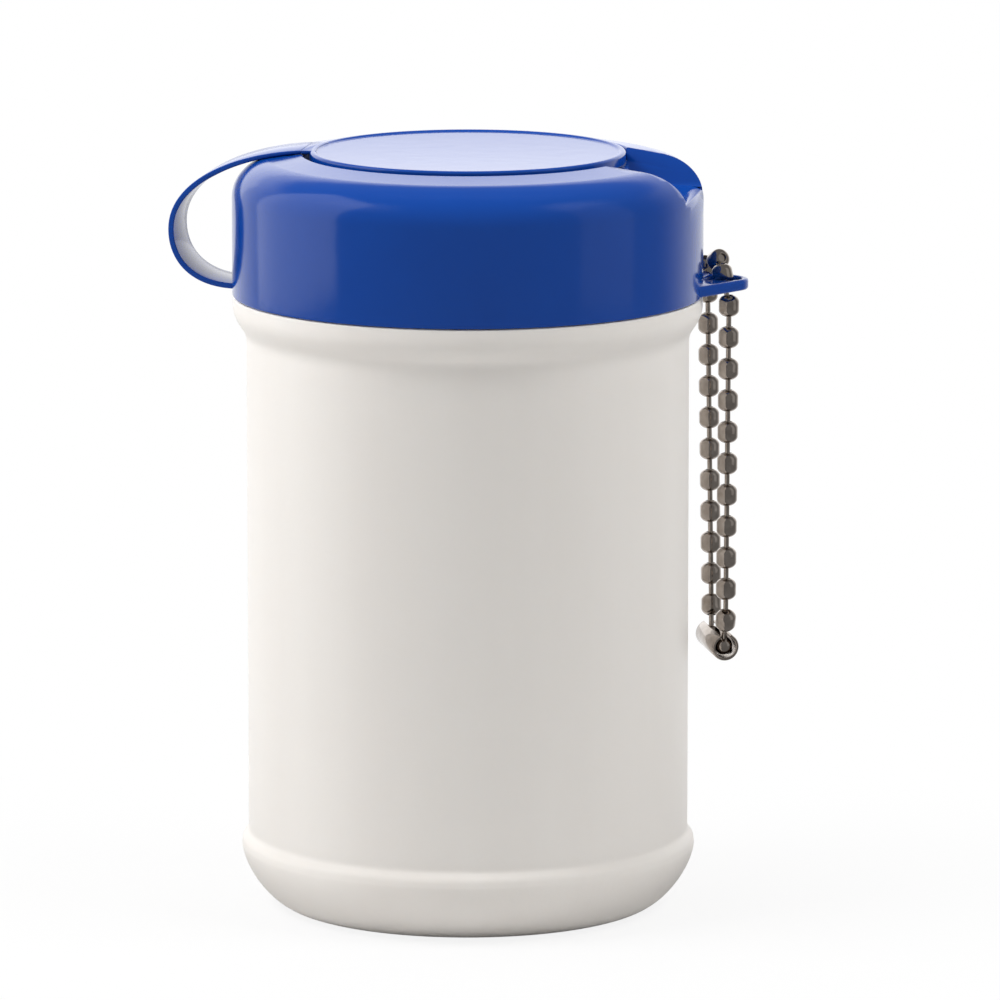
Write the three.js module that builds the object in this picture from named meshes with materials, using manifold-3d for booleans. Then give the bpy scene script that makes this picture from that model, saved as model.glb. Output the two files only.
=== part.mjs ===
// A travel-size wipes canister: a round bottle with a roll of wipes inside, a screw cap whose flip lid
// hangs on a strap, and a ball chain through an eye on the cap. Millimetres, +Z up.
// The origin is the centre of the flat base. The strap points along -X and the thumb channel along +X.
import * as THREE from "three";
import { mergeVertices } from "three/addons/utils/BufferGeometryUtils.js";
import Module from "manifold-3d";

const gap = 0.3; // between pieces that touch
const roundSides = 64; // facets round the canister and the cap

// Canister
const panelRadius = 25.87;
const bodyWall = 1.1;
const floorThickness = 1.3;
const baseBeadProud = 0.78; // how far the base bead stands out from the panel
const baseBeadHeight = 6.9;
const baseCornerReach = 6.25; // how far the corner below the bead turns in
const baseCornerPower = 1.5; // 2 is an ellipse, 1 a chamfer
const baseCreaseRise = 1.85; // from the bead's widest place to the crease above it
const panelHeight = 58.95;
const shoulderBeadProud = 1.58;
const shoulderBeadRise = 2.6;
const shoulderBeadHeight = 1.9;
const neckWall = 1.5;
const neckHeight = 9.6;

// Roll of wipes
const rollSlack = 0.8; // between the roll and the neck it went in through
const rollBevel = 3.8; // its lower edge, pressed in by the round corner of the base
const rollHeight = 62.0;
const coreRadius = 6.0;

// Cap
const capOverhang = 0.05; // past the shoulder bead
const skirtWall = 1.3;
const threadRoom = 1.3; // between the skirt and the neck
const capHeight = 16.3; // from the skirt's edge to the inner edge of the rim
const shoulderStart = 11.2; // height on the skirt where the shoulder begins to turn in
const shoulderReach = 4.6; // how far in the shoulder turns
const rimFall = 0.62; // the rim's slope from its inner edge out to the shoulder
const recessRadius = 19.2;
const ledgeDepth = 1.6;
const ledgeWidth = 2.7;
const wellDepth = 4.9;
const deckThickness = 1.2;

// Orifice that the wipes are pulled through
const orificeRadius = 3.5;
const slitCount = 6;
const slitReach = 7.5;
const slitWidth = 0.7;

// Thumb channel through the shoulder
const channelWidth = 12.8; // of its floor
const channelDepth = 4.2;
const channelLean = 1.8; // how far each wall leans out on its way up to the rim
const channelLip = 1.9; // from the end of its floor to the skirt's face
const channelRunOut = 2.4; // how far its outer face runs down the side

// Flip lid
const lidGroove = 0.76; // open ring between the lid and the recess
const lidThickness = 1.15;
const lidRimWidth = 0.9;
const lidRimHeight = 0.22;
const lidProud = 0.35; // how far the lid's rim stands above the cap's rim
const plugClearance = 0.5;
const plugWall = 1.0;
const plugDepth = 2.4;
const plugTaper = 0.3;
const tabGap = 0.65; // from the lid's edge to the hinge line

// Strap
const strapWidth = 7.8;
const strapThin = 0.4; // at the lid
const strapThick = 0.65; // at its root
const strapReach = 7.4; // how far the loop stands out from the cap
const strapRoot = 0.15; // height of its outer face above the skirt's edge
const strapMiddle = 7.0; // height above the skirt's edge where the loop stands out furthest
const strapOverRim = 8.2; // the next five set how full the loop's two bends are
const strapDip = 0.5;
const strapUpperBow = 5.7;
const strapLowerBow = 3.9;
const strapTuck = 5.3;
const strapSunk = 0.7; // how far its root reaches into the skirt

// Eye for the chain
const eyeAngle = THREE.MathUtils.degToRad(13.8);
const eyeSpread = THREE.MathUtils.degToRad(15.6); // half the angle that its root covers
const eyeThickness = 1.28;
const eyeHoleRadius = 2.1;
const eyeTipWall = 0.8;
const eyeHoleOut = 2.5; // from the skirt's face to the hole's centre

// Ball chain
const beadRadius = 1.2;
const beadLength = 2.5;
const beadBand = 0.95; // length of its round, straight middle
const beadEndRadius = 0.55;
const pinRadius = 0.3;
const beadPitch = 3.75;
const beadsInStrand = 11;
const endBallRadius = 1.1;

// Coupling that joins the chain's ends
const couplingRadius = 1.75;
const couplingWall = 0.32;
const couplingSlot = 1.3;
const couplingPastBall = 1.6;

const wasm = await Module();
wasm.setup();

// A closed mesh as a solid that can be cut and joined.
function asSolid(geometry) {
  const bare = geometry.clone();
  bare.deleteAttribute("normal");
  bare.deleteAttribute("uv");
  const merged = mergeVertices(bare, 1e-5);
  const vertProperties = new Float32Array(merged.attributes.position.array);
  const triVerts = new Uint32Array(merged.index.array);
  return new wasm.Manifold(new wasm.Mesh({ numProp: 3, vertProperties, triVerts }));
}

function asGeometry(solid) {
  const mesh = solid.getMesh();
  const geometry = new THREE.BufferGeometry();
  geometry.setAttribute("position", new THREE.BufferAttribute(new Float32Array(mesh.vertProperties), 3));
  geometry.setIndex(new THREE.BufferAttribute(new Uint32Array(mesh.triVerts), 1));
  geometry.computeVertexNormals();
  return geometry;
}

// A solid of revolution about +Z from [radius, height] pairs.
function turned(profile, sides) {
  const points = profile.map(([radius, height]) => new THREE.Vector2(radius, height));
  return new THREE.LatheGeometry(points, sides).rotateX(Math.PI / 2);
}

// A flat outline in the XY plane, made thick from one height to another.
function slab(shape, low, high) {
  const settings = { depth: high - low, bevelEnabled: false, curveSegments: 16 };
  return new THREE.ExtrudeGeometry(shape, settings).translate(0, 0, low);
}

function polar(radius, angle) {
  return new THREE.Vector2(radius * Math.cos(angle), radius * Math.sin(angle));
}

const baseBeadRadius = panelRadius + baseBeadProud;
const baseFlatRadius = baseBeadRadius - baseCornerReach;
const baseCreaseHeight = baseBeadHeight + baseCreaseRise;
const panelTop = baseCreaseHeight + panelHeight;
const shoulderBeadRadius = panelRadius + shoulderBeadProud;
const shoulderHeight = panelTop + shoulderBeadRise + shoulderBeadHeight;
const capRadius = shoulderBeadRadius + capOverhang;
const neckRadius = capRadius - skirtWall - threadRoom;
const skirtEdge = shoulderHeight + gap;
const wellRadius = recessRadius - ledgeWidth;
const channelFloorReach = capRadius - channelLip;
const rimHeight = skirtEdge + capHeight;
const lidTop = rimHeight + lidProud;

// Canister body: one blown shell with a blunt base bead, a straight panel, a shoulder bead and a neck.
const neckTop = shoulderHeight + neckHeight;

function baseCorner(steps) {
  const points = [];
  for (let i = 0; i <= steps; i += 1) {
    const turn = (i / steps) * (Math.PI / 2);
    const out = Math.sin(turn) ** (2 / baseCornerPower);
    const up = 1 - Math.cos(turn) ** (2 / baseCornerPower);
    points.push([baseFlatRadius + (baseBeadRadius - baseFlatRadius) * out, baseBeadHeight * up]);
  }
  return points;
}

function canisterGeometry() {
  const beadIn = shoulderBeadRadius - panelRadius;
  const innerRadius = panelRadius - bodyWall;
  const neckInner = neckRadius - neckWall;
  const profile = [
    [0, 0],
    ...baseCorner(8),
    [baseBeadRadius - 0.25 * baseBeadProud, baseCreaseHeight - 0.35 * baseCreaseRise],
    [panelRadius, baseCreaseHeight],
    [panelRadius, panelTop],
    [panelRadius + 0.3 * beadIn, panelTop + 0.3 * shoulderBeadRise],
    [panelRadius + 0.75 * beadIn, panelTop + 0.6 * shoulderBeadRise],
    [shoulderBeadRadius, panelTop + shoulderBeadRise],
    [shoulderBeadRadius, shoulderHeight],
    [neckRadius, shoulderHeight],
    [neckRadius, neckTop],
    [neckInner, neckTop],
    [neckInner, shoulderHeight - bodyWall],
    [innerRadius, panelTop - bodyWall],
    [innerRadius, baseBeadHeight],
    [baseFlatRadius, floorThickness],
    [0, floorThickness],
  ];
  return turned(profile, roundSides);
}

// Roll of wipes: every turn in one solid, hollow where the first wipe is drawn from.
function rollGeometry() {
  const radius = neckRadius - neckWall - rollSlack;
  const low = floorThickness + gap;
  const high = low + rollHeight;
  const profile = [
    [coreRadius, low],
    [radius - rollBevel, low],
    [radius, low + rollBevel],
    [radius, high],
    [coreRadius, high],
    [coreRadius, low],
  ];
  return turned(profile, 48);
}

// Cap: skirt, shoulder, rim, recess with a ledge for the lid, and a well with the orifice in its floor.
function capShell() {
  const shoulderTop = rimHeight - rimFall;
  const shoulder = [];
  for (let i = 0; i <= 7; i += 1) {
    const turn = (i / 7) * (Math.PI / 2);
    const radius = capRadius - shoulderReach * (1 - Math.cos(turn));
    const start = skirtEdge + shoulderStart;
    shoulder.push([radius, start + (shoulderTop - start) * Math.sin(turn)]);
  }
  const ledge = rimHeight - ledgeDepth;
  const wellFloor = rimHeight - wellDepth;
  const deck = rimHeight - channelDepth - deckThickness;
  const skirtInner = capRadius - skirtWall;
  const profile = [
    [0, wellFloor - deckThickness],
    [wellRadius + deckThickness, wellFloor - deckThickness],
    [wellRadius + deckThickness, deck],
    [skirtInner - shoulderReach / 3, deck],
    [skirtInner, deck - shoulderReach / 3],
    [skirtInner, skirtEdge],
    [capRadius, skirtEdge],
    ...shoulder,
    [recessRadius, rimHeight],
    [recessRadius, ledge],
    [wellRadius, ledge],
    [wellRadius, wellFloor],
    [0, wellFloor],
  ];
  return asSolid(turned(profile, roundSides));
}

// Thumb channel: a level floor from the recess out through the shoulder, between walls that lean outwards.
function channelCut() {
  const half = channelWidth / 2;
  const floor = rimHeight - channelDepth;
  const outer = capRadius + 2;
  const ceiling = rimHeight + 2;
  const topHalf = half + channelLean * ((ceiling - floor) / channelDepth);
  const section = new THREE.Shape([
    new THREE.Vector2(-half, floor),
    new THREE.Vector2(half, floor),
    new THREE.Vector2(topHalf, ceiling),
    new THREE.Vector2(-topHalf, ceiling),
  ]);
  const trench = new THREE.ExtrudeGeometry(section, { depth: outer, bevelEnabled: false });
  const alongX = new THREE.Matrix4().makeBasis(
    new THREE.Vector3(0, 1, 0),
    new THREE.Vector3(0, 0, 1),
    new THREE.Vector3(1, 0, 0),
  );
  trench.applyMatrix4(alongX);
  const inside = new THREE.CylinderGeometry(recessRadius - 0.02, recessRadius - 0.02, 20, roundSides);
  inside.rotateX(Math.PI / 2).translate(0, 0, rimHeight);
  const scoop = new THREE.Shape([
    new THREE.Vector2(channelFloorReach, floor + 0.01),
    new THREE.Vector2(capRadius + 0.01, floor - channelRunOut),
    new THREE.Vector2(outer, floor - channelRunOut),
    new THREE.Vector2(outer, floor + 0.01),
  ]);
  const wedge = new THREE.ExtrudeGeometry(scoop, { depth: channelWidth, bevelEnabled: false });
  wedge.rotateX(Math.PI / 2).translate(0, half, 0);
  return asSolid(trench).subtract(asSolid(inside)).add(asSolid(wedge));
}

// Orifice: a round hole with narrow slits round it.
function orificeCut() {
  const shape = new THREE.Shape();
  const slitTurn = Math.asin(slitWidth / 2 / orificeRadius);
  for (let i = 0; i < slitCount; i += 1) {
    const angle = (i / slitCount) * 2 * Math.PI;
    const next = ((i + 1) / slitCount) * 2 * Math.PI;
    const tip = polar(slitReach, angle);
    const side = polar(slitWidth / 2, angle + Math.PI / 2);
    const start = polar(orificeRadius, angle - slitTurn);
    if (i === 0) shape.moveTo(start.x, start.y);
    shape.lineTo(tip.x - side.x, tip.y - side.y);
    shape.lineTo(tip.x + side.x, tip.y + side.y);
    shape.absarc(0, 0, orificeRadius, angle + slitTurn, next - slitTurn, false);
  }
  const wellFloor = rimHeight - wellDepth;
  return asSolid(slab(shape, wellFloor - deckThickness - 1, wellFloor + 1));
}

// Strap: a flat band that leaves the lid over the rim, loops out and down, and joins the skirt again.
const hingeX = -(recessRadius - lidGroove + tabGap);

function strapCurves() {
  const start = new THREE.Vector2(hingeX - gap / 2, lidTop);
  const farthest = new THREE.Vector2(-capRadius - strapReach, skirtEdge + strapMiddle);
  const end = new THREE.Vector2(-capRadius + strapSunk, skirtEdge + strapRoot);
  const upper = new THREE.CubicBezierCurve(
    start,
    new THREE.Vector2(start.x - strapOverRim, start.y - strapDip),
    new THREE.Vector2(farthest.x, farthest.y + strapUpperBow),
    farthest,
  );
  const lower = new THREE.CubicBezierCurve(
    farthest,
    new THREE.Vector2(farthest.x, farthest.y - strapLowerBow),
    new THREE.Vector2(end.x - strapTuck, end.y),
    end,
  );
  return [...upper.getPoints(14), ...lower.getPoints(12).slice(1)];
}

function strapSolid() {
  const outer = strapCurves();
  const inner = outer.map((point, i) => {
    const before = outer[Math.max(i - 1, 0)];
    const after = outer[Math.min(i + 1, outer.length - 1)];
    const along = after.clone().sub(before).normalize();
    const share = Math.min(1, (4 * i) / outer.length);
    const thickness = strapThin + (strapThick - strapThin) * share;
    return new THREE.Vector2(point.x - along.y * thickness, point.y + along.x * thickness);
  });
  inner[0].x = outer[0].x;
  const shape = new THREE.Shape([...outer, ...inner.reverse()]);
  const band = new THREE.ExtrudeGeometry(shape, { depth: strapWidth, bevelEnabled: false });
  return asSolid(band.rotateX(Math.PI / 2).translate(0, strapWidth / 2, 0));
}

// The rim is lowered a little under the strap, so that the strap passes over it clear.
function strapSeat() {
  const low = lidTop - strapThin - gap;
  const reach = 2 * shoulderReach;
  const box = new THREE.BoxGeometry(reach, strapWidth + 2 * gap, 2);
  return asSolid(box.translate(-recessRadius - reach / 2 + 2, 0, low + 1));
}

// Eye: a flat rounded-triangle ear level with the skirt's edge, with a round hole near its tip.
const eyeCentre = polar(capRadius + eyeHoleOut, eyeAngle);

function eyeSolid() {
  const tipRadius = eyeHoleRadius + eyeTipWall;
  const low = polar(capRadius - skirtWall / 2, eyeAngle - eyeSpread);
  const high = polar(capRadius - skirtWall / 2, eyeAngle + eyeSpread);
  const back = polar(capRadius - skirtWall / 2, eyeAngle);
  const lowSkirt = polar(capRadius, eyeAngle - eyeSpread);
  const away = lowSkirt.distanceTo(eyeCentre);
  const lean = Math.acos(tipRadius / away);
  const toRoot = Math.atan2(lowSkirt.y - eyeCentre.y, lowSkirt.x - eyeCentre.x);
  const firstTouch = toRoot + lean;
  const lastTouch = 2 * eyeAngle - firstTouch;
  const shape = new THREE.Shape();
  shape.moveTo(back.x, back.y);
  shape.lineTo(low.x, low.y);
  shape.lineTo(lowSkirt.x, lowSkirt.y);
  shape.absarc(eyeCentre.x, eyeCentre.y, tipRadius, firstTouch, lastTouch, false);
  const highSkirt = polar(capRadius, eyeAngle + eyeSpread);
  shape.lineTo(highSkirt.x, highSkirt.y);
  shape.lineTo(high.x, high.y);
  const hole = new THREE.Path();
  hole.absarc(eyeCentre.x, eyeCentre.y, eyeHoleRadius, 0, 2 * Math.PI, true);
  shape.holes.push(hole);
  return asSolid(slab(shape, skirtEdge, skirtEdge + eyeThickness));
}

function capGeometry() {
  const shell = capShell().subtract(channelCut()).subtract(orificeCut()).subtract(strapSeat());
  return asGeometry(shell.add(strapSolid()).add(eyeSolid()));
}

// Flip lid: a disc with a raised rim, a ring below it that plugs the well, and a tab at the hinge.
function lidGeometry() {
  const radius = recessRadius - lidGroove;
  const faceHeight = lidTop - lidRimHeight;
  const under = faceHeight - lidThickness;
  const plugRadius = wellRadius - plugClearance;
  const profile = [
    [0, under],
    [plugRadius - plugWall, under],
    [plugRadius - plugWall, under - plugDepth],
    [plugRadius - plugTaper, under - plugDepth],
    [plugRadius, under - plugDepth + 2 * plugTaper],
    [plugRadius, under],
    [radius, under],
    [radius, lidTop - lidRimHeight],
    [radius - lidRimWidth / 4, lidTop],
    [radius - (3 * lidRimWidth) / 4, lidTop],
    [radius - lidRimWidth, faceHeight],
    [0, faceHeight],
  ];
  const tabLow = lidTop - strapThin;
  const tabReach = 3;
  const tab = new THREE.BoxGeometry(tabReach, strapWidth, strapThin);
  tab.translate(hingeX + gap / 2 + tabReach / 2, 0, tabLow + strapThin / 2);
  const field = new THREE.CylinderGeometry(radius - lidRimWidth, radius - lidRimWidth, 2, roundSides);
  field.rotateX(Math.PI / 2).translate(0, 0, faceHeight + 1);
  const tabbed = asSolid(tab).subtract(asSolid(field));
  return asGeometry(asSolid(turned(profile, roundSides)).add(tabbed));
}

// Ball chain: the strands hang from beads whose places are chosen by hand, counted from the middle of the
// eye's hole at the skirt's edge. The near strand comes down through the hole, the far one behind the eye.
function fromEye(x, y, z) {
  return new THREE.Vector3(eyeCentre.x + x, eyeCentre.y + y, skirtEdge + z);
}

function strand(top, lean) {
  const places = [];
  for (let i = 0; i < beadsInStrand; i += 1) {
    places.push(top.clone().addScaledVector(lean, i * beadPitch));
  }
  return places;
}

function nextBead(place, direction) {
  return place.clone().addScaledVector(direction.normalize(), beadPitch);
}

const overEye = [fromEye(-0.19, 0.59, 1.55), fromEye(-1.25, 4.0, 2.8), fromEye(-3.24, 6.95, 1.5)];
const nearStrand = strand(fromEye(0.52, 0.91, -2.15), new THREE.Vector3(-0.006, -0.001, -1));
const farStrand = strand(fromEye(-3.17, 8.79, -1.8), new THREE.Vector3(0.016, -0.003, -1));
const nearBall = nextBead(nearStrand[beadsInStrand - 1], new THREE.Vector3(-0.54, 1.63, -3.35));
const farBall = nextBead(farStrand[beadsInStrand - 1], new THREE.Vector3(0.27, -1.68, -3.3));

// One hollow bead, drawn as a barrel, with the pin that leaves it downwards.
function beadGeometry(pinTip) {
  const end = beadLength / 2;
  const bulge = beadBand / 8;
  const mid = (beadRadius + beadEndRadius) / 2 + bulge;
  const midHeight = (end + beadBand / 2 + bulge) / 2;
  const profile = [
    [0, -pinTip],
    [pinRadius, -pinTip],
    [pinRadius, -end],
    [beadEndRadius, -end],
    [mid, -midHeight],
    [beadRadius, -beadBand / 2],
    [beadRadius, beadBand / 2],
    [mid, midHeight],
    [beadEndRadius, end],
    [0, end],
  ];
  return turned(profile, 10);
}

const up = new THREE.Vector3(0, 0, 1);

function named(name, geometry, material) {
  const mesh = new THREE.Mesh(geometry, material);
  mesh.name = name;
  return mesh;
}

// A bead at one place, its pin pointing at the bead below and stopping short of it.
function bead(name, place, below, reach, material) {
  const away = place.clone().sub(below);
  const mesh = named(name, beadGeometry(away.length() - reach - gap), material);
  mesh.position.copy(place);
  mesh.quaternion.setFromUnitVectors(up, away.normalize());
  return mesh;
}

// The middle bead over the eye holds both of its pins, which reach for the beads at either side.
function crownBead(name, place, sides, material) {
  const reach = beadLength / 2 + gap;
  const across = sides[0].clone().sub(sides[1]).normalize();
  const turn = new THREE.Quaternion().setFromUnitVectors(up, across);
  let solid = asSolid(beadGeometry(beadLength / 2 + pinRadius / 10).applyQuaternion(turn));
  for (const side of sides) {
    const toward = side.clone().sub(place);
    const length = toward.length() - reach;
    const pin = new THREE.CylinderGeometry(pinRadius, pinRadius, length, 8);
    pin.rotateX(Math.PI / 2).translate(0, 0, length / 2);
    pin.applyQuaternion(new THREE.Quaternion().setFromUnitVectors(up, toward.normalize()));
    solid = solid.add(asSolid(pin));
  }
  const mesh = named(name, asGeometry(solid), material);
  mesh.position.copy(place);
  return mesh;
}

function endBall(name, place, material) {
  const mesh = named(name, new THREE.SphereGeometry(endBallRadius, 10, 8), material);
  mesh.position.copy(place);
  return mesh;
}

// Coupling: a thin metal tube slit along its top, where the end balls and their pins slide in.
function coupling(name, near, far, material) {
  const slit = Math.asin(couplingSlot / 2 / couplingRadius);
  const innerRadius = couplingRadius - couplingWall;
  const innerSlit = Math.asin(couplingSlot / 2 / innerRadius);
  const top = Math.PI / 2;
  const shape = new THREE.Shape();
  shape.absarc(0, 0, couplingRadius, top + slit, top - slit + 2 * Math.PI, false);
  shape.absarc(0, 0, innerRadius, top - innerSlit + 2 * Math.PI, top + innerSlit, true);
  const along = near.clone().sub(far);
  const length = along.length() + 2 * couplingPastBall;
  const tube = new THREE.ExtrudeGeometry(shape, { depth: length, bevelEnabled: false, curveSegments: 10 });
  tube.translate(0, 0, -length / 2);
  const mesh = named(name, tube, material);
  mesh.position.copy(near).lerp(far, 0.5);
  mesh.up.copy(up);
  mesh.lookAt(mesh.position.clone().add(along));
  return mesh;
}

const whiteShell = new THREE.MeshStandardMaterial({ color: 0xeceae6, roughness: 0.42, metalness: 0 });
const bluePlastic = new THREE.MeshStandardMaterial({ color: 0x0b3fa6, roughness: 0.16, metalness: 0 });
const wipeCloth = new THREE.MeshStandardMaterial({ color: 0xf4f5f3, roughness: 0.95, metalness: 0 });
const darkNickel = new THREE.MeshStandardMaterial({ color: 0x8d8078, roughness: 0.22, metalness: 1 });

const canister = new THREE.Group();
canister.add(named("canister_body", canisterGeometry(), whiteShell));
canister.add(named("wipes_roll", rollGeometry(), wipeCloth));
canister.add(named("screw_cap", capGeometry(), bluePlastic));
canister.add(named("flip_lid", lidGeometry(), bluePlastic));

const chain = new THREE.Group();
const [firstOver, crown, lastOver] = overEye;
const beadReach = beadLength / 2;
chain.add(bead("chain_top_near", firstOver, nearStrand[0], beadReach, darkNickel));
chain.add(crownBead("chain_top_crown", crown, [firstOver, lastOver], darkNickel));
chain.add(bead("chain_top_far", lastOver, farStrand[0], beadReach, darkNickel));
for (const [side, places, ball] of [["near", nearStrand, nearBall], ["far", farStrand, farBall]]) {
  places.forEach((place, i) => {
    const last = i === places.length - 1;
    const below = last ? ball : places[i + 1];
    const reach = last ? endBallRadius : beadReach;
    const number = String(i + 1).padStart(2, "0");
    chain.add(bead(`chain_${side}_${number}`, place, below, reach, darkNickel));
  });
  chain.add(endBall(`chain_${side}_end_ball`, ball, darkNickel));
}
chain.add(coupling("chain_coupling", nearBall, farBall, darkNickel));
canister.add(chain);

export default canister;
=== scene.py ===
# Looks for a travel-size wipes canister: a white blown bottle, a blue screw cap with a flip lid on a strap,
# and a ball chain through an eye on the cap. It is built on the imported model, in metres, +Z up.
import math

import bpy
from mathutils import Matrix, Vector


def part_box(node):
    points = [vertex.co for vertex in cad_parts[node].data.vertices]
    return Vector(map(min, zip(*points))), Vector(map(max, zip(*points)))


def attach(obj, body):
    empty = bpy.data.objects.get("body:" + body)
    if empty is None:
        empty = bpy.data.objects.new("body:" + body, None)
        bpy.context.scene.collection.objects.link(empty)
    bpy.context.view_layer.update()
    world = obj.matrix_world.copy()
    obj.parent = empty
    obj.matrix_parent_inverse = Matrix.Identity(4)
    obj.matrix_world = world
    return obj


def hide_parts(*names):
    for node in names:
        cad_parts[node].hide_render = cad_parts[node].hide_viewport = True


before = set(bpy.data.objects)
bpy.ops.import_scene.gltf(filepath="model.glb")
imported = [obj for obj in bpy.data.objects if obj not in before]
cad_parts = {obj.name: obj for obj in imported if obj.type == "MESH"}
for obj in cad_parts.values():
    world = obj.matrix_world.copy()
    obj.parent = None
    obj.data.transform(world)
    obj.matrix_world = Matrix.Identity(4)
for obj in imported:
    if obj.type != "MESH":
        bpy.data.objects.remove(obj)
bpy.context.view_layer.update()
bpy.context.scene.view_settings.view_transform = "Standard"


# Camera: a long lens, a little above the object and 10 degrees round from its front.
# It aims just past the bottle's axis, so that the chain stays in the picture.
camera_turn = math.radians(10)
camera_rise = math.radians(10.47)
camera_away = 1.05
camera_lens = 321.8
looked_at = Vector((0, 0, 0.03915))
aim_right = 0.00377
aim_up = 0.00845

to_camera = Vector(
    (
        math.sin(camera_turn) * math.cos(camera_rise),
        -math.cos(camera_turn) * math.cos(camera_rise),
        math.sin(camera_rise),
    )
)
camera_right = Vector((math.cos(camera_turn), math.sin(camera_turn), 0))
camera_up = to_camera.cross(camera_right)
camera_place = looked_at + camera_away * to_camera
aim = looked_at + aim_right * camera_right + aim_up * camera_up
camera_facing = (aim - camera_place).to_track_quat("-Z", "Y").to_euler()
bpy.ops.object.camera_add(location=camera_place, rotation=camera_facing)
camera = bpy.context.object
camera.data.lens = camera_lens
camera.data.sensor_width = 36
bpy.context.scene.camera = camera


# Studio: a white floor and white surroundings, darker overhead and on the camera's side. Three soft boxes
# show as highlights on the plastic, and three fill lights only light it. The floor has a faint shadow.
class Shade:
    """A node socket that can take part in sums. Every node of every material comes from its make method."""

    def __init__(self, tree, socket=None):
        self.tree = tree
        self.socket = socket

    def make(self, kind, settings, inputs, output=0):
        node = self.tree.nodes.new(kind)
        for name, value in settings.items():
            setattr(node, name, value)
        for name, value in inputs.items():
            if isinstance(value, Shade):
                self.tree.links.new(value.socket, node.inputs[name])
            else:
                node.inputs[name].default_value = value
        return Shade(self.tree, node.outputs[output] if node.outputs else None)

    def sum_of(self, operation, first, second):
        return self.make("ShaderNodeMath", {"operation": operation}, {0: first, 1: second})

    def __add__(self, other):
        return self.sum_of("ADD", self, other)

    def __radd__(self, other):
        return self.sum_of("ADD", other, self)

    def __sub__(self, other):
        return self.sum_of("SUBTRACT", self, other)

    def __rsub__(self, other):
        return self.sum_of("SUBTRACT", other, self)

    def __mul__(self, other):
        return self.sum_of("MULTIPLY", self, other)

    def __rmul__(self, other):
        return self.sum_of("MULTIPLY", other, self)


def cleared(holder):
    """The node tree of a material or a world, emptied."""
    holder.use_nodes = True
    holder.node_tree.nodes.clear()
    return Shade(holder.node_tree)


room_front = 0.22


def surroundings(desk, direction):
    """How bright the room is in a direction: dim overhead and at the camera, white low behind the object."""
    front = desk.make(
        "ShaderNodeVectorMath",
        {"operation": "DOT_PRODUCT"},
        {0: direction, 1: (math.sin(camera_turn), -math.cos(camera_turn), 0)},
        "Value",
    )
    level = desk.make(
        "ShaderNodeMapRange",
        {"interpolation_type": "SMOOTHSTEP"},
        {"Value": front, "From Min": -0.9, "From Max": -0.2, "To Min": 1.0, "To Max": room_front},
    )
    rise = desk.make("ShaderNodeSeparateXYZ", {}, {"Vector": direction}, "Z")
    low = desk.make(
        "ShaderNodeMapRange",
        {"interpolation_type": "SMOOTHSTEP"},
        {"Value": rise, "From Min": 0.48, "From Max": 0.63, "To Min": 1.0, "To Max": 0.0},
    )
    return room_front + (level - room_front) * low


room = bpy.data.worlds.new("studio")
bpy.context.scene.world = room
desk = cleared(room)
seen = desk.make("ShaderNodeLightPath", {}, {}, "Is Camera Ray")
bright = surroundings(desk, desk.make("ShaderNodeTexCoord", {}, {}, "Generated"))
glow = desk.make("ShaderNodeBackground", {}, {"Color": (1, 1, 1, 1), "Strength": seen + (1 - seen) * bright})
desk.make("ShaderNodeOutputWorld", {}, {"Surface": glow})

floor_size = 3.0
shadow_share = 0.14
bpy.ops.object.select_all(action="DESELECT")
bpy.ops.mesh.primitive_plane_add(size=floor_size, location=(0, 0, -0.0001))
bpy.ops.object.transform_apply(location=True)
floor = bpy.context.object
floor.name = "floor"
floor_look = bpy.data.materials.new("white_floor")
desk = cleared(floor_look)
seen = desk.make("ShaderNodeLightPath", {}, {}, "Is Camera Ray")
glossy = desk.make("ShaderNodeLightPath", {}, {}, "Is Glossy Ray")
through = desk.make("ShaderNodeLightPath", {}, {}, "Is Transmission Ray")
place = desk.make("ShaderNodeTexCoord", {}, {}, "Object")
outward = desk.make("ShaderNodeVectorMath", {"operation": "NORMALIZE"}, {0: place}, "Vector")
distance = desk.make("ShaderNodeVectorMath", {"operation": "LENGTH"}, {0: place}, "Value")
shadow_fade = desk.make(
    "ShaderNodeMapRange",
    {},
    {"Value": distance, "From Min": 0.03, "From Max": 0.09, "To Min": shadow_share, "To Max": 0.0},
)
lit = desk.make("ShaderNodeBsdfDiffuse", {}, {"Color": (0.8, 0.8, 0.8, 1)})
mirrored = glossy + through
glow = desk.make(
    "ShaderNodeEmission",
    {},
    {"Color": (1, 1, 1, 1), "Strength": seen + mirrored * surroundings(desk, outward)},
)
shown = desk.make("ShaderNodeMixShader", {}, {0: seen * (1 - shadow_fade) + mirrored, 1: lit, 2: glow})
desk.make("ShaderNodeOutputMaterial", {}, {"Surface": shown})
floor.data.materials.append(floor_look)


def soft_light(name, round_from_camera, away, height, width, tall, brightness, tip=0.0):
    """A soft box at an angle round the object from the camera, facing the axis. Its sizes are in metres."""
    angle = camera_turn + math.radians(round_from_camera)
    spot = Vector((math.sin(angle) * away, -math.cos(angle) * away, height))
    facing = (Vector((0, 0, height + tip)) - spot).to_track_quat("-Z", "Y").to_euler()
    bpy.ops.object.light_add(type="AREA", location=spot, rotation=facing)
    lamp = bpy.context.object
    lamp.name = name
    lamp.data.shape = "RECTANGLE"
    lamp.data.size = width
    lamp.data.size_y = tall
    lamp.data.energy = brightness * math.pi * width * tall
    lamp.visible_camera = False
    return lamp


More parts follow.
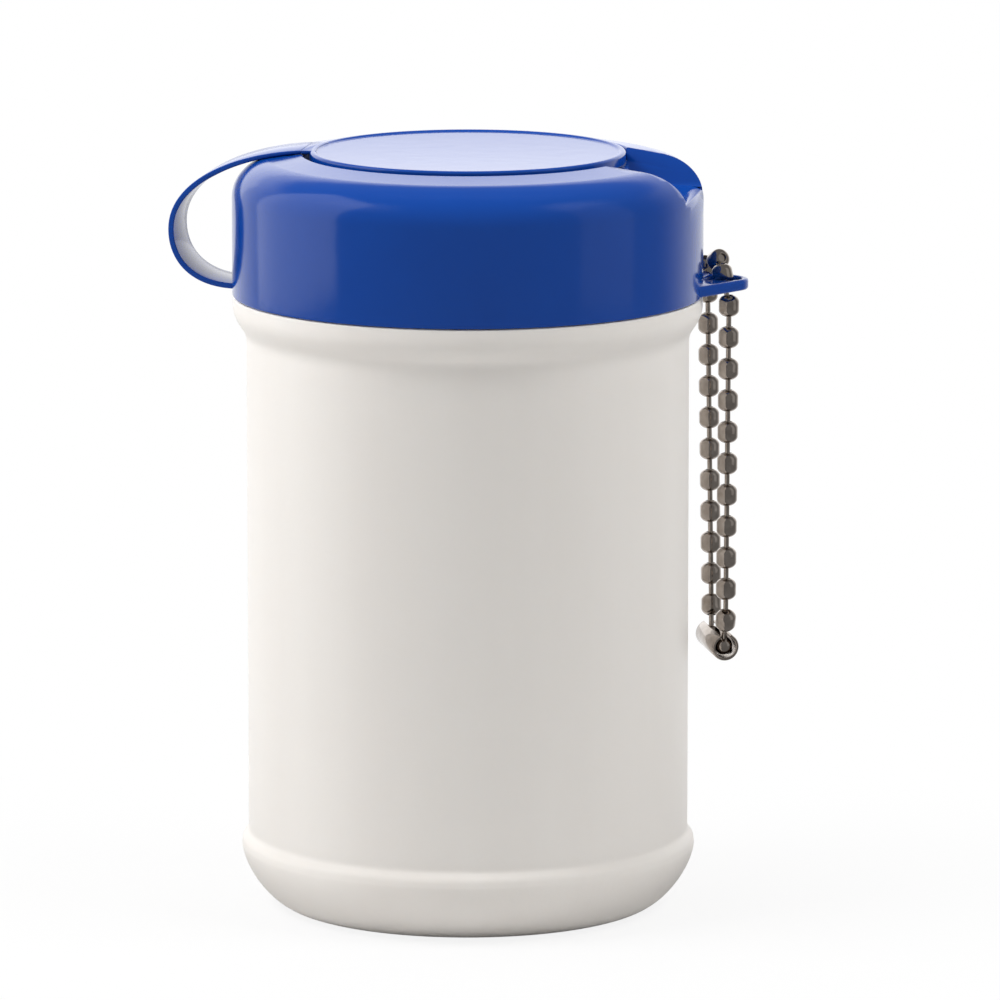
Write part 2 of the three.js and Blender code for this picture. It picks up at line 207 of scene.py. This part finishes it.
soft_light("left_softbox", -93, 0.33, 0.30, 0.35, 0.60, 0.95)
soft_light("right_softbox", 70, 0.33, 0.30, 0.18, 0.60, 0.2)
soft_light("back_softbox", 180, 0.60, 0.22, 0.90, 0.30, 0.4)
fills = [
    soft_light("left_fill", -72, 0.35, 0.52, 0.30, 0.30, 11.0),
    soft_light("right_fill", 72, 0.35, 0.52, 0.30, 0.30, 9.0),
    soft_light("top_fill", 180, 0.10, 0.60, 0.42, 0.16, 3.0, -0.53),
]
for lamp in fills:
    lamp.visible_glossy = False


# Canister: one blown shell of white polyethylene with a blunt base bead, a straight panel and a shoulder
# bead. Its neck goes up inside the cap and carries one and a half turns of thread.
MM = 0.001


def draw_line(name, points):
    """A line of edges through points in millimetres: one vertex, extruded from place to place."""
    bpy.ops.object.select_all(action="DESELECT")
    bpy.ops.mesh.primitive_plane_add(size=MM)
    line = bpy.context.object
    line.name = name
    line.data.name = name
    bpy.ops.object.mode_set(mode="EDIT")
    bpy.ops.mesh.merge(type="CENTER")
    here = Vector((0, 0, 0))
    for number, point in enumerate(points):
        step = Vector(point) * MM - here
        if number == 0:
            bpy.ops.transform.translate(value=step)
        else:
            bpy.ops.mesh.extrude_vertices_move(TRANSFORM_OT_translate={"value": step})
        here += step
    bpy.ops.mesh.select_all(action="SELECT")
    return line


def close_mesh():
    """Joins what meets, turns the faces outwards and leaves edit mode."""
    bpy.ops.mesh.select_all(action="SELECT")
    bpy.ops.mesh.remove_doubles(threshold=0.002 * MM)
    bpy.ops.mesh.normals_make_consistent(inside=False)
    bpy.ops.object.mode_set(mode="OBJECT")


def softened(corners, steps=5):
    """An outline with rounded corners: each is (radius, height, how far back its rounding starts)."""
    points = []
    for number, (across, up, reach) in enumerate(corners):
        corner = Vector((across, 0, up))
        if reach == 0:
            points.append(corner)
            continue
        before = Vector((corners[number - 1][0], 0, corners[number - 1][1])) - corner
        after = Vector((corners[number + 1][0], 0, corners[number + 1][1])) - corner
        start = corner + before.normalized() * min(reach, 0.48 * before.length)
        end = corner + after.normalized() * min(reach, 0.48 * after.length)
        for step in range(steps + 1):
            share = step / steps
            points.append(start * (1 - share) ** 2 + corner * 2 * share * (1 - share) + end * share**2)
    return points


def turned(name, outline, steps=128):
    """A piece of revolution about +Z, spun from an outline in millimetres."""
    piece = draw_line(name, outline)
    bpy.ops.mesh.spin(steps=steps, angle=math.tau, center=(0, 0, 0), axis=(0, 0, 1))
    close_mesh()
    return piece


def smooth(piece, angle=32):
    bpy.ops.object.select_all(action="DESELECT")
    piece.select_set(True)
    bpy.context.view_layer.objects.active = piece
    bpy.ops.object.shade_smooth_by_angle(angle=math.radians(angle))


def apply_modifier(piece, kind, settings):
    """Adds one modifier, as from the menu, and applies it."""
    bpy.ops.object.select_all(action="DESELECT")
    piece.select_set(True)
    bpy.context.view_layer.objects.active = piece
    modifier = piece.modifiers.new(kind.lower(), kind)
    for name, value in settings.items():
        setattr(modifier, name, value)
    bpy.ops.object.modifier_apply(modifier=modifier.name)


canister_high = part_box("canister_body")[1]
shoulder_radius = canister_high.x / MM
neck_top = canister_high.z / MM
panel_radius = shoulder_radius - 1.58
base_radius = panel_radius + 0.78
shoulder_height = neck_top - 9.6
panel_top = shoulder_height - 4.5
panel_foot = 8.75
base_height = 6.9
foot_radius = base_radius - 5.4
corner_power = 1.5
neck_radius = shoulder_radius - 2.55
neck_inside = neck_radius - 1.5
wall = 1.1
push_up = 0.5

outline = softened([(0, push_up, 0), (foot_radius - 3, push_up, 1), (foot_radius - 1.4, 0, 0)])
for step in range(17):
    turn = step / 16 * math.pi / 2
    across = foot_radius + (base_radius - foot_radius) * math.sin(turn) ** (2 / corner_power)
    up = base_height * (1 - math.cos(turn) ** (2 / corner_power))
    outline.append(Vector((across, 0, up)))
outline += softened(
    [
        (base_radius, base_height + 0.1, 0),
        (base_radius - 0.1, base_height + 0.95, 0.4),
        (panel_radius - 0.05, panel_foot - 0.05, 0.3),
        (panel_radius, panel_foot + 0.9, 0.4),
        (panel_radius, panel_top, 1.1),
        (panel_radius + 1.0, panel_top + 1.35, 0.7),
        (shoulder_radius, panel_top + 2.6, 0.7),
        (shoulder_radius, shoulder_height, 0.35),
        (neck_radius, shoulder_height, 0.3),
        (neck_radius, neck_top, 0.3),
        (neck_inside, neck_top, 0.3),
        (neck_inside, shoulder_height - wall, 0.8),
        (panel_radius - wall, panel_top - wall, 1.5),
        (panel_radius - wall, base_height, 1.5),
        (foot_radius, push_up + wall, 1.5),
        (0, push_up + wall, 0),
    ]
)
canister = turned("canister", outline)
smooth(canister)

thread_pitch = 3.2
thread_turns = 1.5
thread_proud = 0.85
thread_start = shoulder_height + 2.2
thread = draw_line(
    "neck_thread",
    [
        (neck_radius - 0.15, 0, thread_start - 0.8),
        (neck_radius + thread_proud, 0, thread_start - 0.25),
        (neck_radius + thread_proud, 0, thread_start + 0.25),
        (neck_radius - 0.15, 0, thread_start + 0.8),
        (neck_radius - 0.15, 0, thread_start - 0.8),
    ],
)
bpy.ops.mesh.remove_doubles(threshold=0.002 * MM)
bpy.ops.object.mode_set(mode="OBJECT")
apply_modifier(
    thread,
    "SCREW",
    {
        "angle": thread_turns * math.tau,
        "screw_offset": thread_turns * thread_pitch * MM,
        "steps": 128,
        "render_steps": 128,
        "axis": "Z",
    },
)
bpy.ops.object.mode_set(mode="EDIT")
bpy.ops.mesh.select_all(action="SELECT")
bpy.ops.mesh.fill_holes(sides=4)
close_mesh()
smooth(thread, 50)

shell_look = bpy.data.materials.new("white_blown_shell")
desk = cleared(shell_look)
place = desk.make("ShaderNodeTexCoord", {}, {}, "Object")
streaked = desk.make("ShaderNodeMapping", {}, {"Vector": place, "Scale": (1, 1, 0.08)})
streaks = desk.make("ShaderNodeTexNoise", {}, {"Vector": streaked, "Scale": 90, "Detail": 3}, "Fac")
skin = desk.make("ShaderNodeTexNoise", {}, {"Vector": place, "Scale": 1400, "Detail": 2}, "Fac")
milky = desk.make(
    "ShaderNodeMix",
    {"data_type": "RGBA"},
    {0: streaks, 6: (0.84, 0.795, 0.75, 1), 7: (0.91, 0.875, 0.83, 1)},
    2,
)
pebbled = desk.make(
    "ShaderNodeBump",
    {},
    {"Strength": 0.06, "Distance": 0.0002, "Height": skin + 0.5 * streaks},
)
shell = desk.make(
    "ShaderNodeBsdfPrincipled",
    {},
    {
        "Base Color": milky,
        "Roughness": 0.38 + 0.1 * streaks,
        "IOR": 1.5,
        "Subsurface Weight": 0.15,
        "Subsurface Radius": (1, 0.9, 0.8),
        "Subsurface Scale": 0.002,
        "Normal": pebbled,
    },
)
desk.make("ShaderNodeOutputMaterial", {}, {"Surface": shell})
for piece in (canister, thread):
    piece.data.materials.append(shell_look)
    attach(piece, "canister")
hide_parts("canister_body")


# Wipes: one long damp sheet wound into a roll with an open core, pressed in at its lower edge by the base.
# Its turns show as fine rings on the top.
roll_low, roll_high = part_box("wipes_roll")
roll_radius = roll_high.x / MM
roll_top = roll_high.z / MM
roll_foot = roll_low.z / MM
core_radius = 6.0
turn_step = 0.9
roll_corners = [
    (core_radius, roll_foot, 0),
    (roll_radius - 3.8, roll_foot, 0.8),
    (roll_radius, roll_foot + 3.8, 1.2),
    (roll_radius, roll_top - 0.2, 0.3),
]
turns = int((roll_radius - core_radius - 1) / turn_step)
for number in range(turns):
    across = roll_radius - 0.5 - number * turn_step
    roll_corners.append((across, roll_top - 0.02, 0))
    roll_corners.append((across - 0.5 * turn_step, roll_top - 0.3, 0))
roll_corners += [(core_radius, roll_top - 0.1, 0), (core_radius, roll_foot, 0)]
roll = turned("wipes", softened(roll_corners), 96)
smooth(roll, 60)

cloth_look = bpy.data.materials.new("damp_wipe")
desk = cleared(cloth_look)
place = desk.make("ShaderNodeTexCoord", {}, {}, "Object")
fibres = desk.make("ShaderNodeTexNoise", {}, {"Vector": place, "Scale": 2600, "Detail": 4}, "Fac")
dots = desk.make("ShaderNodeTexVoronoi", {}, {"Vector": place, "Scale": 620}, "Distance")
cloth_colour = desk.make(
    "ShaderNodeMix",
    {"data_type": "RGBA"},
    {0: fibres, 6: (0.80, 0.82, 0.81, 1), 7: (0.93, 0.93, 0.91, 1)},
    2,
)
woolly = desk.make("ShaderNodeBump", {}, {"Strength": 0.5, "Distance": 0.0003, "Height": fibres + dots})
cloth = desk.make(
    "ShaderNodeBsdfPrincipled",
    {},
    {"Base Color": cloth_colour, "Roughness": 0.8 + 0.15 * fibres, "Sheen Weight": 0.15, "Normal": woolly},
)
desk.make("ShaderNodeOutputMaterial", {}, {"Surface": cloth})
roll.data.materials.append(cloth_look)
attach(roll, "canister")
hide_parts("wipes_roll")


# Cap: glossy blue moulded polypropylene. It has a skirt, a round shoulder, a rim, a ledge for the lid and a
# well whose floor has the orifice and its slits. The thumb channel is cut through its shoulder.
cap_radius = shoulder_radius + 0.05
skirt_edge = shoulder_height + 0.3
seated = 0.22
skirt_wall = 1.3
rim_height = skirt_edge + 16.3
shoulder_start = skirt_edge + 11.2
shoulder_reach = 4.6
shoulder_top = rim_height - 0.62
recess_radius = 19.2
ledge_height = rim_height - 1.6
well_radius = recess_radius - 2.7
well_floor = rim_height - 4.9
deck = 1.2
channel_floor = rim_height - 4.2
run_out = 2.4
skirt_inside = cap_radius - skirt_wall


def bent(start, start_pull, end_pull, end, steps):
    """Points along one smooth bend between two places."""
    points = []
    for step in range(steps + 1):
        share = step / steps
        rest = 1 - share
        pulls = start_pull * 3 * rest**2 * share + end_pull * 3 * rest * share**2
        points.append(start * rest**3 + pulls + end * share**3)
    return points


outline = softened(
    [
        (0, well_floor - deck, 0),
        (well_radius + deck, well_floor - deck, 0.4),
        (well_radius + deck, channel_floor - deck, 0.3),
        (skirt_inside - 1.5, channel_floor - deck, 0.3),
        (skirt_inside, channel_floor - deck - 1.5, 0.5),
        (skirt_inside, skirt_edge - seated, 0.3),
        (cap_radius, skirt_edge - seated, 0.2),
        (cap_radius, channel_floor - run_out - 0.4, 0),
        (cap_radius, shoulder_start, 0),
    ]
)
shoulder_curve = bent(
    Vector((cap_radius, 0, shoulder_start)),
    Vector((cap_radius, 0, shoulder_start + 2.5)),
    Vector((cap_radius - shoulder_reach + 2.4, 0, shoulder_top - 0.3)),
    Vector((cap_radius - shoulder_reach, 0, shoulder_top)),
    18,
)
outline += shoulder_curve[1:]
outline += softened(
    [
        (cap_radius - shoulder_reach - 0.01, shoulder_top, 0),
        (recess_radius, rim_height, 0.35),
        (recess_radius, ledge_height, 0.25),
        (well_radius, ledge_height, 0.3),
        (well_radius, well_floor, 0.5),
        (0, well_floor, 0),
    ]
)
cap = turned("cap", outline)


def pulled(name, corners, way):
    """A closed flat outline in millimetres, filled and pulled out along a way."""
    piece = draw_line(name, [*corners, corners[0]])
    bpy.ops.mesh.remove_doubles(threshold=0.002 * MM)
    bpy.ops.mesh.edge_face_add()
    bpy.ops.mesh.extrude_region_move(TRANSFORM_OT_translate={"value": Vector(way) * MM})
    close_mesh()
    return piece


def prism(name, corners, low, high):
    """An outline seen from above, pulled up from one height to another."""
    return pulled(name, [(across, along, low) for across, along in corners], (0, 0, high - low))


def cut_away(piece, cutter):
    """Takes the cutter's shape out of the piece and throws the cutter away."""
    apply_modifier(piece, "BOOLEAN", {"operation": "DIFFERENCE", "solver": "EXACT", "object": cutter})
    bpy.data.objects.remove(cutter)


def arc(centre, radius, start, end, steps):
    """Points on a round stretch, from one angle to another."""
    points = []
    for step in range(steps + 1):
        angle = start + (end - start) * step / steps
        points.append((centre[0] + radius * math.cos(angle), centre[1] + radius * math.sin(angle)))
    return points


def ring(centre, radius, sides):
    """The corners of a closed round outline."""
    return arc(centre, radius, 0, math.tau * (sides - 1) / sides, sides - 1)


channel_half = 6.4
channel_lean = 1.8
past_cap = cap_radius + 2
ceiling = rim_height + 2
top_half = channel_half + channel_lean * (ceiling - channel_floor) / (rim_height - channel_floor)
trench_corner = 0.5
trench = pulled(
    "channel_cutter",
    [
        (0, -top_half, ceiling),
        (0, -channel_half - 0.4 * trench_corner, channel_floor + trench_corner),
        (0, -channel_half + 0.1 * trench_corner, channel_floor + 0.2 * trench_corner),
        (0, -channel_half + trench_corner, channel_floor),
        (0, channel_half - trench_corner, channel_floor),
        (0, channel_half - 0.1 * trench_corner, channel_floor + 0.2 * trench_corner),
        (0, channel_half + 0.4 * trench_corner, channel_floor + trench_corner),
        (0, top_half, ceiling),
    ],
    (past_cap, 0, 0),
)
inside = prism("recess_keeper", ring((0, 0), recess_radius - 0.4, 128), channel_floor - 20, ceiling + 20)
cut_away(trench, inside)
cut_away(cap, trench)

lip = 1.9
overlap = 0.02
floor_reach = cap_radius - lip
scoop_side = []
for step in range(11):
    turn = step / 10 * math.pi / 2
    fall = run_out * (1 - math.cos(turn))
    scoop_side.append((floor_reach + (lip + overlap) * math.sin(turn), channel_floor - fall))
scoop_side += [
    (past_cap, channel_floor - run_out),
    (past_cap, channel_floor + overlap),
    (floor_reach, channel_floor + overlap),
]
scoop_corners = [(across, -channel_half, up) for across, up in scoop_side]
cut_away(cap, pulled("scoop_cutter", scoop_corners, (0, 2 * channel_half, 0)))

orifice_radius = 3.5
slit_reach = 7.5
slit_half = 0.35
slits = 6
slit_turn = math.asin(slit_half / orifice_radius)
orifice_outline = []
for number in range(slits):
    angle = number / slits * math.tau
    following = (number + 1) / slits * math.tau
    for side in (-1, 1):
        orifice_outline.append(
            (
                slit_reach * math.cos(angle) - side * slit_half * math.sin(angle),
                slit_reach * math.sin(angle) + side * slit_half * math.cos(angle),
            )
        )
    orifice_outline += arc((0, 0), orifice_radius, angle + slit_turn, following - slit_turn, 6)
cut_away(cap, prism("orifice_cutter", orifice_outline, well_floor - deck - 1, well_floor + 1))

lid_top = rim_height + 0.35
strap_width = 7.8
strap_thin = 0.4
seat_low = lid_top - strap_thin - 0.3
seat_half = strap_width / 2 + 0.3
seat_inside = -recess_radius + 2
seat_outside = seat_inside - 2 * shoulder_reach - 2
seat = [
    (seat_inside, -seat_half),
    (seat_inside, seat_half),
    (seat_outside, seat_half),
    (seat_outside, -seat_half),
]
cut_away(cap, prism("strap_seat_cutter", seat, seat_low, seat_low + 2))
apply_modifier(
    cap,
    "BEVEL",
    {"width": 0.16 * MM, "segments": 2, "limit_method": "ANGLE", "angle_limit": math.radians(50)},
)
smooth(cap, 40)

blue_look = bpy.data.materials.new("blue_moulded_plastic")
desk = cleared(blue_look)
place = desk.make("ShaderNodeTexCoord", {}, {}, "Object")
flow = desk.make("ShaderNodeTexNoise", {}, {"Vector": place, "Scale": 60, "Detail": 3}, "Fac")
peel = desk.make("ShaderNodeTexNoise", {}, {"Vector": place, "Scale": 420, "Detail": 2}, "Fac")
blue = desk.make(
    "ShaderNodeMix",
    {"data_type": "RGBA"},
    {0: flow, 6: (0.002, 0.047, 0.29, 1), 7: (0.003, 0.059, 0.345, 1)},
    2,
)
rippled = desk.make("ShaderNodeBump", {}, {"Strength": 0.03, "Distance": 0.0004, "Height": peel})
plastic = desk.make(
    "ShaderNodeBsdfPrincipled",
    {},
    {"Base Color": blue, "Roughness": 0.1 + 0.06 * peel, "IOR": 1.5, "Normal": rippled},
)
desk.make("ShaderNodeOutputMaterial", {}, {"Surface": plastic})
cap.data.materials.append(blue_look)
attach(cap, "cap")
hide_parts("screw_cap")


# Strap: a flat band of the same plastic, moulded in one with the cap and the lid. It leaves the lid over the
# rim, loops out and down and joins the skirt again just above its edge.
hinge_x = -(recess_radius - 0.76 + 0.65)
strap_thick = 0.65
strap_start = Vector((hinge_x - 0.02, lid_top))
strap_far = Vector((-cap_radius - 7.4, skirt_edge + 7.0))
strap_end = Vector((-cap_radius + 0.7, skirt_edge + 0.15))
over_rim = Vector((strap_start.x - 8.2, strap_start.y - 0.5))
upper_bow = Vector((strap_far.x, strap_far.y + 5.7))
lower_bow = Vector((strap_far.x, strap_far.y - 3.9))
tuck = Vector((strap_end.x - 5.3, strap_end.y))

outer_face = bent(strap_start, over_rim, upper_bow, strap_far, 28)
outer_face += bent(strap_far, lower_bow, tuck, strap_end, 24)[1:]
inner_face = []
for number, point in enumerate(outer_face):
    before = outer_face[max(number - 1, 0)]
    after = outer_face[min(number + 1, len(outer_face) - 1)]
    along = (after - before).normalized()
    thickness = strap_thin + (strap_thick - strap_thin) * min(1, 4 * number / len(outer_face))
    inner_face.append(Vector((point.x - along.y * thickness, point.y + along.x * thickness)))
inner_face[0].x = outer_face[0].x
edge = [(point.x, -strap_width / 2, point.y) for point in [*outer_face, *reversed(inner_face)]]
strap = pulled("strap", edge, (0, strap_width, 0))
apply_modifier(
    strap,
    "BEVEL",
    {"width": 0.13 * MM, "segments": 3, "limit_method": "ANGLE", "angle_limit": math.radians(40)},
)
smooth(strap, 40)
strap.data.materials.append(blue_look)
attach(strap, "cap")


# Eye: a flat rounded ear moulded on the skirt's edge, with a round hole near its tip for the chain.
# Its edges are rounded, and its root runs into the skirt.
eye_angle = math.radians(13.8)
eye_spread = math.radians(15.6)
eye_thickness = 1.28
eye_hole = 2.1
eye_tip = eye_hole + 0.8
eye_x = (cap_radius + 2.5) * math.cos(eye_angle)
eye_y = (cap_radius + 2.5) * math.sin(eye_angle)


def on_skirt(radius, angle):
    return (radius * math.cos(angle), radius * math.sin(angle))


sunk = cap_radius - skirt_wall / 2
root_x, root_y = on_skirt(cap_radius, eye_angle - eye_spread)
lean = math.acos(eye_tip / math.hypot(root_x - eye_x, root_y - eye_y))
first_touch = math.atan2(root_y - eye_y, root_x - eye_x) + lean
ear = [
    on_skirt(sunk, eye_angle),
    on_skirt(sunk, eye_angle - eye_spread),
    (root_x, root_y),
    *arc((eye_x, eye_y), eye_tip, first_touch, 2 * eye_angle - first_touch, 28),
    on_skirt(cap_radius, eye_angle + eye_spread),
    on_skirt(sunk, eye_angle + eye_spread),
]
eye = prism("chain_eye", ear, skirt_edge, skirt_edge + eye_thickness)
hole = ring((eye_x, eye_y), eye_hole, 48)
cut_away(eye, prism("eye_hole_cutter", hole, skirt_edge - 1, skirt_edge + eye_thickness + 1))
apply_modifier(
    eye,
    "BEVEL",
    {"width": 0.3 * MM, "segments": 3, "limit_method": "ANGLE", "angle_limit": math.radians(50)},
)
smooth(eye, 40)
eye.data.materials.append(blue_look)
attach(eye, "cap")


# Flip lid: a disc of the same plastic with a raised rim, a ring below that plugs the well, and a short tab at
# the hinge, where it meets the strap.
lid_radius = recess_radius - 0.76
lid_rim = 0.9
face_height = lid_top - 0.22
lid_under = face_height - 1.15
plug_radius = well_radius - 0.5
plug_foot = lid_under - 2.4
lid = turned(
    "lid",
    softened(
        [
            (0, lid_under, 0),
            (plug_radius - 1, lid_under, 0.3),
            (plug_radius - 1, plug_foot, 0.25),
            (plug_radius - 0.3, plug_foot, 0.2),
            (plug_radius, plug_foot + 0.6, 0.2),
            (plug_radius, lid_under, 0.2),
            (lid_radius, lid_under, 0.2),
            (lid_radius, face_height, 0.1),
            (lid_radius - 0.2, lid_top, 0.18),
            (lid_radius - lid_rim + 0.25, lid_top, 0.18),
            (lid_radius - lid_rim, face_height, 0.2),
            (0, face_height, 0),
        ]
    ),
)
tab_reach = 2.2
tab_low = lid_top - strap_thin
tab = prism(
    "lid_tab",
    [
        (hinge_x + 0.02, -strap_width / 2),
        (hinge_x + tab_reach, -strap_width / 2),
        (hinge_x + tab_reach, strap_width / 2),
        (hinge_x + 0.02, strap_width / 2),
    ],
    tab_low,
    lid_top - 0.01,
)
field = ring((0, 0), lid_radius - lid_rim + 0.1, 128)
cut_away(tab, prism("field_cutter", field, face_height - 2, face_height + 2))
apply_modifier(
    tab,
    "BEVEL",
    {"width": 0.1 * MM, "segments": 2, "limit_method": "ANGLE", "angle_limit": math.radians(50)},
)
for piece in (lid, tab):
    smooth(piece, 35)
    piece.data.materials.append(blue_look)
    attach(piece, "lid")
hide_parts("flip_lid")


# Ball chain: hollow beads rolled from thin strip and plated dark nickel, joined by pins that end inside them.
# Two strands hang from the beads over the eye. Their places are counted from the middle of the eye's hole.
bead_radius = 1.2
bead_half = 1.25
bead_band = 0.475
bead_mouth = 0.55
pin_radius = 0.3
bead_pitch = 3.75
beads_in_strand = 11
beads_above_fold = 5
ball_radius = 1.1
pin_clearance = 0.03
pin_start = -bead_half - 0.05
bead_sides = 28


def from_eye(x, y, z):
    return Vector((eye_x + x, eye_y + y, skirt_edge + z))


def next_place(place, direction):
    return place + Vector(direction).normalized() * bead_pitch


def strand(top, lean_x, lean_y):
    """The places of one hanging strand's beads, which drift sideways a little on their way down."""
    return [top + number * bead_pitch * Vector((lean_x, lean_y, -1)) for number in range(beads_in_strand)]


over_eye = [from_eye(-0.19, 0.59, 1.55), from_eye(-1.25, 4.0, 2.8), from_eye(-3.24, 6.95, 1.5)]
strands = {
    "near": strand(from_eye(0.52, 0.91, -2.15), -0.006, -0.001),
    "far": strand(from_eye(-3.17, 8.79, -1.8), 0.016, -0.003),
}
end_places = {
    "near": next_place(strands["near"][-1], (-0.54, 1.63, -3.35)),
    "far": next_place(strands["far"][-1], (0.27, -1.68, -3.3)),
}

pin_tip = -(bead_pitch - bead_half - pin_clearance)
mouth_turn = math.radians(62)
mouth_lip = bead_mouth - 0.05
mouth_inside = bead_mouth - 0.1
mouth_depth = 0.3
belly = []
for step in range(9):
    turn = mouth_turn * (1 - step / 8)
    bulge = (math.cos(turn) - math.cos(mouth_turn)) / (1 - math.cos(mouth_turn))
    drop = math.sin(turn) / math.sin(mouth_turn)
    across = bead_mouth + (bead_radius - bead_mouth) * bulge
    belly.append((across, -bead_band - (bead_half - bead_band) * drop))
bead_corners = [
    (0, pin_tip),
    (pin_radius, pin_tip),
    (pin_radius, pin_start),
    (pin_radius, -bead_half + mouth_depth + 0.05),
    (mouth_inside, -bead_half + mouth_depth),
    (mouth_lip, -bead_half),
    *belly,
    *[(across, -up) for across, up in reversed(belly)],
    (mouth_lip, bead_half),
    (mouth_inside, bead_half - mouth_depth),
    (0, bead_half - mouth_depth),
]
model_bead = turned("model_bead", [(across, 0, up) for across, up in bead_corners], bead_sides)
smooth(model_bead, 45)

nickel_look = bpy.data.materials.new("dark_nickel")
desk = cleared(nickel_look)
place = desk.make("ShaderNodeTexCoord", {}, {}, "Object")
tarnish = desk.make("ShaderNodeTexNoise", {}, {"Vector": place, "Scale": 900, "Detail": 3}, "Fac")
scuffs = desk.make("ShaderNodeTexNoise", {}, {"Vector": place, "Scale": 4200, "Detail": 2}, "Fac")
nickel = desk.make(
    "ShaderNodeMix",
    {"data_type": "RGBA"},
    {0: tarnish, 6: (0.28, 0.24, 0.21, 1), 7: (0.58, 0.52, 0.47, 1)},
    2,
)
worn = desk.make("ShaderNodeBump", {}, {"Strength": 0.08, "Distance": 0.00005, "Height": scuffs})
metal = desk.make(
    "ShaderNodeBsdfPrincipled",
    {},
    {"Base Color": nickel, "Metallic": 1.0, "Roughness": 0.05 + 0.05 * tarnish, "Normal": worn},
)
desk.make("ShaderNodeOutputMaterial", {}, {"Surface": metal})
model_bead.data.materials.append(nickel_look)


def copy_of(model, name):
    """A copy with its own mesh."""
    bpy.ops.object.select_all(action="DESELECT")
    model.select_set(True)
    bpy.context.view_layer.objects.active = model
    bpy.ops.object.duplicate(linked=False)
    piece = bpy.context.object
    piece.name = name
    piece.data.name = name
    return piece


def hang(name, place, below, reach, body, node):
    """One bead at its place, turned so that its pin points at the bead below and ends at its mouth."""
    away = place - below
    bead = copy_of(model_bead, name)
    for vertex in bead.data.vertices:
        if vertex.co.z < 1.1 * pin_start * MM:
            vertex.co.z = -(away.length - reach - pin_clearance) * MM
    turn = Vector((0, 0, 1)).rotation_difference(away.normalized()).to_matrix().to_4x4()
    bead.data.transform(Matrix.Translation(place * MM) @ turn)
    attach(bead, body)
    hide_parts(node)


first_over, crown, last_over = over_eye
hang("bead_top_near", first_over, strands["near"][0], bead_half, "cap", "chain_top_near")
hang("bead_top_far", last_over, strands["far"][0], bead_half, "cap", "chain_top_far")
hang("bead_crown", crown, last_over, bead_half, "cap", "chain_top_crown")
for side, places in strands.items():
    for number, place in enumerate(places):
        last = number == beads_in_strand - 1
        below = end_places[side] if last else places[number + 1]
        reach = ball_radius if last else bead_half
        body = "chain_upper" if number < beads_above_fold else "chain_lower"
        tag = f"{side}_{number + 1:02d}"
        hang(f"bead_{tag}", place, below, reach, body, f"chain_{tag}")

crown_pin_foot = bead_half * 0.8
crown_side = first_over - crown
crown_pin_tip = crown_side.length - bead_half - pin_clearance
crown_pin = turned(
    "crown_pin",
    [
        (0, 0, crown_pin_foot),
        (pin_radius, 0, crown_pin_foot),
        (pin_radius, 0, crown_pin_tip),
        (0, 0, crown_pin_tip),
    ],
    16,
)
crown_turn = Vector((0, 0, 1)).rotation_difference(crown_side.normalized()).to_matrix().to_4x4()
crown_pin.data.transform(Matrix.Translation(crown * MM) @ crown_turn)
smooth(crown_pin, 45)
crown_pin.data.materials.append(nickel_look)
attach(crown_pin, "cap")

ball_outline = []
for step in range(15):
    turn = math.pi * step / 14
    ball_outline.append(Vector((ball_radius * math.sin(turn), 0, -ball_radius * math.cos(turn))))
model_ball = turned("model_ball", ball_outline, bead_sides)
smooth(model_ball, 45)
model_ball.data.materials.append(nickel_look)
for side, place in end_places.items():
    ball = copy_of(model_ball, f"end_ball_{side}")
    ball.data.transform(Matrix.Translation(place * MM))
    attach(ball, "chain_lower")
    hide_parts(f"chain_{side}_end_ball")
for model in (model_bead, model_ball):
    bpy.data.objects.remove(model)


# Coupling: a short tube rolled from thin dark nickel strip and left open along its top, where the end balls
# of the chain snap in. Its rims are turned in a little.
coupling_radius = 1.65
coupling_wall = 0.32
coupling_slot = 1.3
past_ball = 1.2
slit = math.asin(coupling_slot / 2 / coupling_radius)
middle_radius = coupling_radius - coupling_wall / 2
near_ball = end_places["near"]
far_ball = end_places["far"]
coupling_along = near_ball - far_ball
coupling_length = coupling_along.length + 2 * past_ball
rolled = arc((0, 0), middle_radius, math.pi / 2 + slit, math.pi * 5 / 2 - slit, 36)
coupling = draw_line("coupling", [(across, -coupling_length / 2, up) for across, up in rolled])
turned_in = 0.25
rim_share = 0.93
for station in (turned_in, coupling_length - 2 * turned_in, turned_in):
    bpy.ops.mesh.extrude_region_move(TRANSFORM_OT_translate={"value": (0, station * MM, 0)})
bpy.ops.object.mode_set(mode="OBJECT")
for vertex in coupling.data.vertices:
    if abs(vertex.co.y) > (coupling_length / 2 - turned_in / 2) * MM:
        vertex.co.x *= rim_share
        vertex.co.z *= rim_share
bpy.ops.object.mode_set(mode="EDIT")
close_mesh()
apply_modifier(coupling, "SOLIDIFY", {"thickness": coupling_wall * MM, "offset": 0})
apply_modifier(
    coupling,
    "BEVEL",
    {"width": 0.07 * MM, "segments": 2, "limit_method": "ANGLE", "angle_limit": math.radians(50)},
)
smooth(coupling, 40)
forward = coupling_along.normalized()
sideways = forward.cross(Vector((0, 0, 1))).normalized()
upward = sideways.cross(forward)
turn = Matrix((sideways, forward, upward)).transposed().to_4x4()
coupling.data.transform(Matrix.Translation((near_ball + far_ball) / 2 * MM) @ turn)
coupling.data.materials.append(nickel_look)
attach(coupling, "chain_lower")
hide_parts("chain_coupling")
